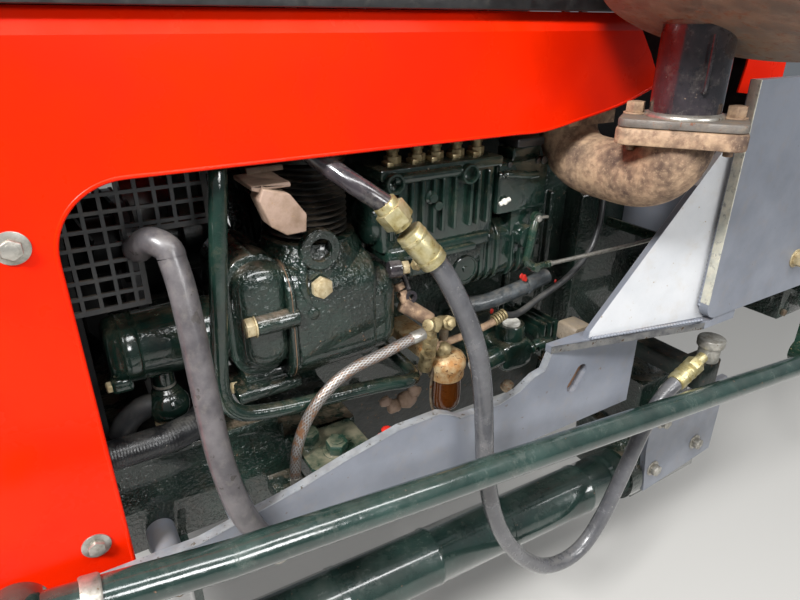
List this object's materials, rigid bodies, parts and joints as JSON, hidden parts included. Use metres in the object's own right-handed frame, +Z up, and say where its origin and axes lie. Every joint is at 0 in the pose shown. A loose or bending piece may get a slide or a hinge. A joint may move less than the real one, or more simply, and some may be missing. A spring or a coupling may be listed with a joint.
{
  "type": "tractor engine bay section",
  "caption": "Front section of a vintage tractor: engine with compressor, pumps and hoses, red panels and bonnet, grille, front support, loader frame and steering link.",
  "frame": {"origin": "centre of the clutch housing's rear face, on the crankshaft's axis", "axes": "+X forward along the crankshaft, +Y to the tractor's left, +Z up"},
  "size_m": [1.712, 1.1129, 1.3767],
  "materials": {
    "dark_green": "old dark green gloss paint over cast iron",
    "red_paint": "glossy orange red enamel on sheet steel",
    "black_paint": "black enamel",
    "grey_paint": "blue grey enamel on plate steel",
    "bare_aluminium": "cast aluminium",
    "rusty_cast_iron": "rusty cast iron",
    "rusty_steel": "rusty sheet steel",
    "zinc_steel": "yellow zinc plated steel",
    "pipe_steel": "bare steel tube",
    "brass_and_glass": "brass head with an amber bowl",
    "dusty_plastic": "dusty beige plastic",
    "rubber_hose": "black and grey rubber",
    "steel_braid": "braided steel with rust specks",
    "lamp_glass": "clear lamp glass"
  },
  "bodies": {
    "root": {"clutch_housing": "dark_green", "engine_block": "dark_green", "oil_sump": "dark_green", "cylinder_head": "dark_green", "rocker_cover": "dark_green", "timing_cover": "dark_green", "water_pump": "dark_green", "alternator": "bare_aluminium", "fan_belt": "rubber_hose", "starter": "black_paint", "compressor_case": "dark_green", "compressor_cylinder": "black_paint", "compressor_head": "dark_green", "intake_cap": "dusty_plastic", "steering_pump": "dark_green", "injection_pump": "dark_green", "governor": "dark_green", "injection_pipes": "pipe_steel", "fuel_filter": "brass_and_glass", "oil_filter": "dark_green", "exhaust_manifold": "rusty_cast_iron", "exhaust_elbow": "rusty_cast_iron", "exhaust_pipe": "black_paint", "silencer": "rusty_steel", "air_cleaner": "black_paint", "radiator": "black_paint", "fan_shroud": "black_paint", "screen_left": "black_paint", "screen_right": "black_paint", "water_hoses": "rubber_hose", "steel_pipe": "dark_green", "front_support": "dark_green", "side_panel_left": "red_paint", "side_panel_right": "red_paint", "nose": "red_paint", "grille": "black_paint", "headlamps": "lamp_glass", "bulkhead": "black_paint", "panel_posts": "black_paint", "rail_left": "grey_paint", "rail_right": "grey_paint", "tower_left": "grey_paint", "tower_right": "grey_paint", "drop_box": "dark_green", "lower_plate": "grey_paint", "drive_guard": "dark_green", "steering_box": "dark_green", "hydraulic_fittings": "zinc_steel", "hydraulic_hose": "rubber_hose", "grey_hose": "rubber_hose", "grey_hose_ends": "rubber_hose", "braided_hose": "steel_braid"},
    "bonnet": {"bonnet_top": "red_paint"},
    "crankshaft": {"crank_pulley": "black_paint"},
    "fan_hub": {"fan": "black_paint"},
    "alternator_rotor": {"alternator_pulley": "black_paint"},
    "front_drive": {"drive_shaft": "zinc_steel"},
    "steering_arm": {"pitman_arm": "dark_green"},
    "steering_link": {"drag_link": "dark_green"}
  },
  "joints": [
    {"name": "bonnet_hinge", "type": "hinge", "parent": "root", "child": "bonnet", "pos_m": [0.016, 0, 0.538], "axis": [0, -1, 0], "range_deg": [0, 60]},
    {"name": "crank_spin", "type": "hinge", "parent": "root", "child": "crankshaft", "pos_m": [1.06, 0, 0], "axis": [1, 0, 0], "continuous": true},
    {"name": "fan_spin", "type": "hinge", "parent": "root", "child": "fan_hub", "pos_m": [1.06, 0, 0.19], "axis": [1, 0, 0], "continuous": true},
    {"name": "alternator_spin", "type": "hinge", "parent": "root", "child": "alternator_rotor", "pos_m": [1.06, -0.19, 0.19], "axis": [1, 0, 0], "continuous": true},
    {"name": "front_drive_spin", "type": "hinge", "parent": "root", "child": "front_drive", "pos_m": [0.251, 0.3, -0.382], "axis": [0.9988, 0, 0.0489], "continuous": true},
    {"name": "steering_swing", "type": "hinge", "parent": "root", "child": "steering_arm", "pos_m": [-0.15, 0, -0.01], "axis": [0, 1, 0], "range_deg": [-28, 28]},
    {"name": "link_swing", "type": "hinge", "parent": "steering_arm", "child": "steering_link", "pos_m": [-0.15, 0, -0.151], "axis": [0, 1, 0], "range_deg": [-28, 28]}
  ],
  "couplings": [
    {"joint": "fan_spin", "follows": "crank_spin", "ratio": 1.25},
    {"joint": "alternator_spin", "follows": "crank_spin", "ratio": 1.9737},
    {"joint": "link_swing", "follows": "steering_swing", "ratio": -1}
  ]
}
